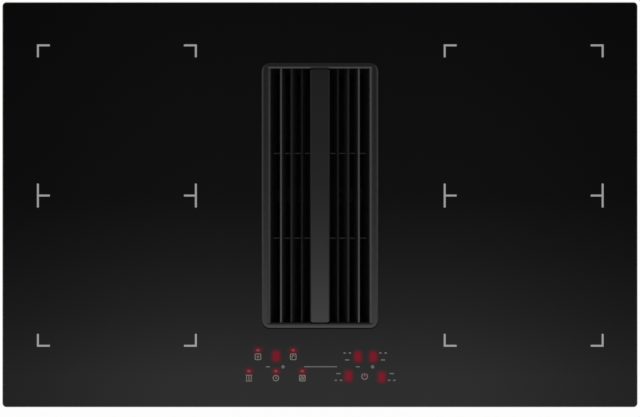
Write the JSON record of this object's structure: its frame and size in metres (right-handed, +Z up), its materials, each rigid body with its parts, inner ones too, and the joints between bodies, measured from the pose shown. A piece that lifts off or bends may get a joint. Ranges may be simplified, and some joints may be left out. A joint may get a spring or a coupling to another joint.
{
  "type": "downdraft induction cooktop",
  "caption": "Built-in induction cooktop with a central downdraft extractor: black glass, lift-off louvred grille, lift-out filter, radial blower and a flat-duct outlet at the rear.",
  "frame": {"origin": "the middle of the glass, projected down onto the plane of the worktop it drops into", "axes": "+X along the cooktop, +Y away from the cook towards the wall, +Z up"},
  "size_m": [0.8, 0.51, 0.2053],
  "materials": {
    "black_glass": "polished black glass ceramic",
    "foam_rubber": "closed-cell foam",
    "galvanised_steel": "galvanised sheet",
    "mica": "pressed mica sheet",
    "copper_litz": "varnished copper litz",
    "raw_aluminium": "mill finish",
    "white_plastic": "moulded",
    "circuit_board": "green solder mask",
    "black_plastic": "moulded, fine texture",
    "grey_plastic": "moulded, fine texture",
    "black_aluminium": "satin black anodised",
    "dark_steel": "blackened",
    "filter_steel": "black coated net",
    "spring_steel": "tempered strip"
  },
  "bodies": {
    "hob": {"glass_top": "black_glass", "sealing_gasket": "foam_rubber", "base_tray": "galvanised_steel", "extractor_motor": "galvanised_steel", "insulation_sheet_left": "mica", "insulation_sheet_right": "mica", "induction_coil_left_rear": "copper_litz", "induction_coil_left_front": "copper_litz", "induction_coil_right_rear": "copper_litz", "induction_coil_right_front": "copper_litz", "coil_carrier_left_rear": "raw_aluminium", "coil_carrier_left_front": "raw_aluminium", "coil_carrier_right_rear": "raw_aluminium", "coil_carrier_right_front": "raw_aluminium", "heat_sink_left": "raw_aluminium", "heat_sink_right": "raw_aluminium", "temperature_sensor_left_rear": "white_plastic", "temperature_sensor_left_front": "white_plastic", "temperature_sensor_right_rear": "white_plastic", "temperature_sensor_right_front": "white_plastic", "power_board_left": "circuit_board", "power_board_right": "circuit_board", "touch_board": "circuit_board", "cooling_blower_left": "black_plastic", "cooling_blower_right": "black_plastic", "light_guide_left": "black_plastic", "light_guide_right": "black_plastic", "intake_collar": "black_plastic", "terminal_box": "black_plastic", "terminal_cover": "black_plastic", "cable_gland": "black_plastic", "control_carrier": "grey_plastic", "shaft_box": "grey_plastic", "plenum_cover": "grey_plastic", "scroll_cover": "grey_plastic", "scroll_housing": "grey_plastic", "outlet_spigot": "grey_plastic", "spring_clip_left_rear": "spring_steel", "spring_clip_left_front": "spring_steel", "spring_clip_right_rear": "spring_steel", "spring_clip_right_front": "spring_steel"},
    "grille": {"grille_frame": "black_aluminium", "grille_spine": "black_aluminium", "louvre_left_inner": "black_aluminium", "louvre_left_middle": "black_aluminium", "louvre_left_outer": "black_aluminium", "louvre_right_inner": "black_aluminium", "louvre_right_middle": "black_aluminium", "louvre_right_outer": "black_aluminium", "cross_rod_rear": "dark_steel", "cross_rod_front": "dark_steel"},
    "filter": {"filter_frame": "black_plastic", "filter_handle": "black_plastic", "filter_mesh_left": "filter_steel", "filter_mesh_right": "filter_steel"},
    "impeller_rotor": {"impeller": "black_plastic", "impeller_shaft": "dark_steel"},
    "cooling_rotor_left": {"cooling_rotor_left": "grey_plastic"},
    "cooling_rotor_right": {"cooling_rotor_right": "grey_plastic"},
    "tank": {"collection_tank": "black_plastic"}
  },
  "joints": [
    {"name": "filter_lift", "type": "slide", "parent": "hob", "child": "filter", "axis": [0, 0, 1], "range_m": [0, 0.14]},
    {"name": "grille_lift", "type": "slide", "parent": "filter", "child": "grille", "axis": [0, 0, 1], "range_m": [0, 0.12]},
    {"name": "impeller_spin", "type": "hinge", "parent": "hob", "child": "impeller_rotor", "pos_m": [0.205, 0.01, -0.13], "axis": [0, 0, 1], "continuous": true},
    {"name": "cooling_rotor_left_spin", "type": "hinge", "parent": "hob", "child": "cooling_rotor_left", "pos_m": [-0.118, 0.0115, -0.035], "axis": [0, 0, 1], "continuous": true},
    {"name": "cooling_rotor_right_spin", "type": "hinge", "parent": "hob", "child": "cooling_rotor_right", "pos_m": [0.118, 0.0115, -0.035], "axis": [0, 0, 1], "continuous": true},
    {"name": "tank_drop", "type": "slide", "parent": "hob", "child": "tank", "axis": [0, 0, -1], "range_m": [0, 0.06]}
  ]
}
